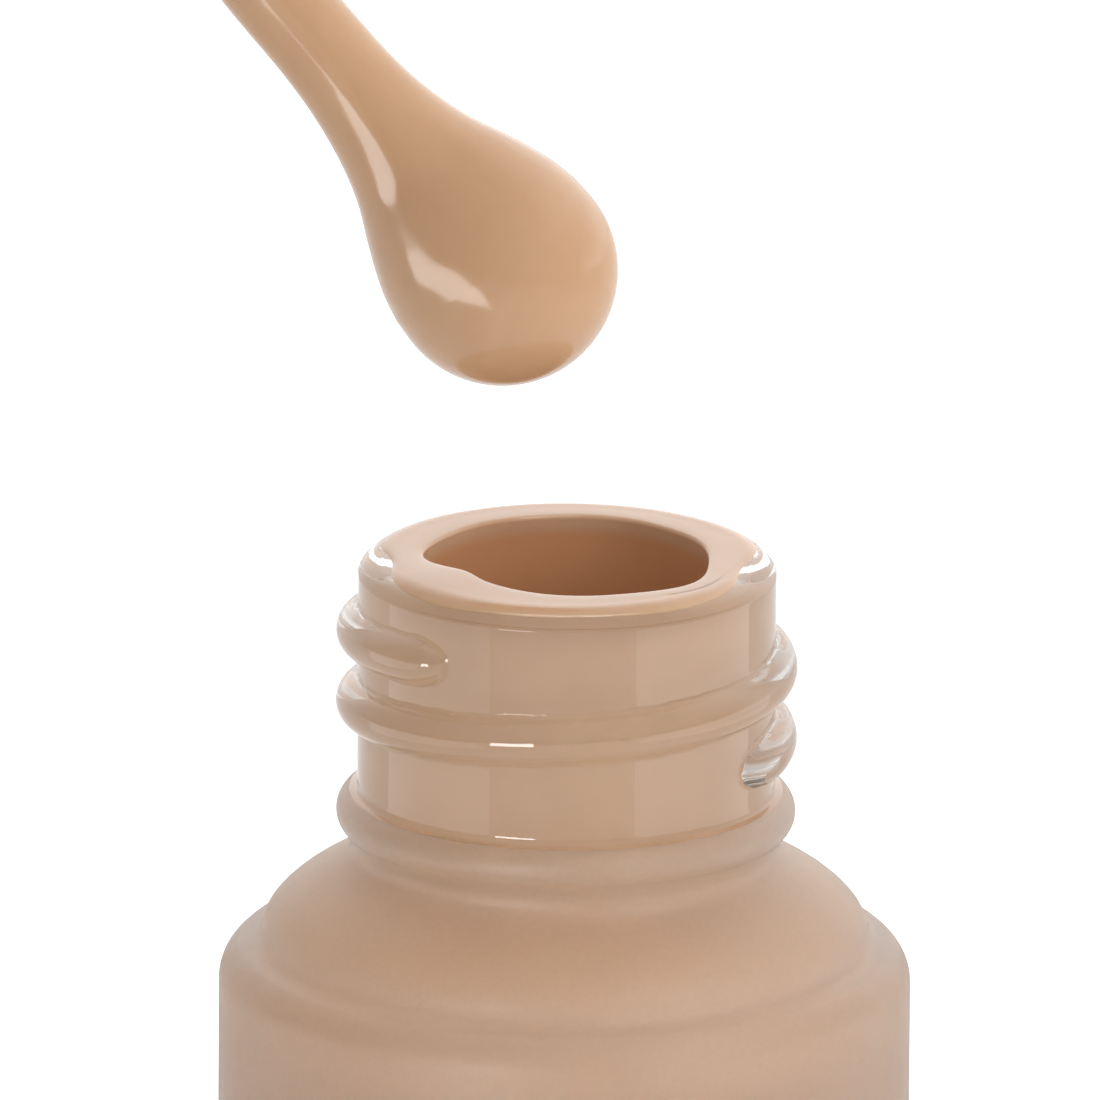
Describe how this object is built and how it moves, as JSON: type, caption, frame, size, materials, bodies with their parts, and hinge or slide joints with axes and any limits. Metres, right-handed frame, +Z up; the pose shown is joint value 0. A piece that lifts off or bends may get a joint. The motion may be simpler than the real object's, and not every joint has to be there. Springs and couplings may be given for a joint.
{
  "type": "cosmetic bottle with wand applicator",
  "caption": "Round frosted-glass liquid foundation bottle, open, with its screw cap and ball-ended wand held over the threaded neck.",
  "frame": {"origin": "middle of the flat face that the bottle stands on", "axes": "+Z up along the bottle's axis, -X the side that the wand leans to"},
  "size_m": [0.0856, 0.03, 0.1828],
  "materials": {
    "bottle_glass": "clear gloss on the neck, frosted below it",
    "label_paper": "coated paper",
    "foundation_liquid": "wet gloss",
    "applicator_rubber": "matte",
    "stem_plastic": "smooth moulded",
    "cap_plastic": "soft satin",
    "inner_cap_plastic": "moulded satin",
    "liner_foam": "matte foam"
  },
  "bodies": {
    "bottle": {"glass_bottle": "bottle_glass", "base_label": "label_paper", "foundation_fill": "foundation_liquid", "foundation_neck_film": "foundation_liquid"},
    "drop": {"foundation_drop": "foundation_liquid"},
    "coat": {"foundation_coat": "foundation_liquid"},
    "wand": {"applicator_tip": "applicator_rubber", "wand_stem": "stem_plastic", "cap_shell": "cap_plastic", "inner_cap": "inner_cap_plastic", "seal_liner": "liner_foam"}
  },
  "joints": [
    {"name": "applicator_dip", "type": "slide", "parent": "bottle", "child": "drop", "axis": [0.1896, 0, -0.9819], "range_m": [0, 0.01635]},
    {"name": "applicator_tilt", "type": "hinge", "parent": "drop", "child": "coat", "pos_m": [-0.0029, 0, 0.10285], "axis": [0, 1, 0], "range_deg": [0, 38.5]},
    {"name": "cap_turn", "type": "hinge", "parent": "coat", "child": "wand", "pos_m": [-0.0029, 0, 0.10285], "axis": [-0.6225, 0, 0.7826], "continuous": true}
  ]
}
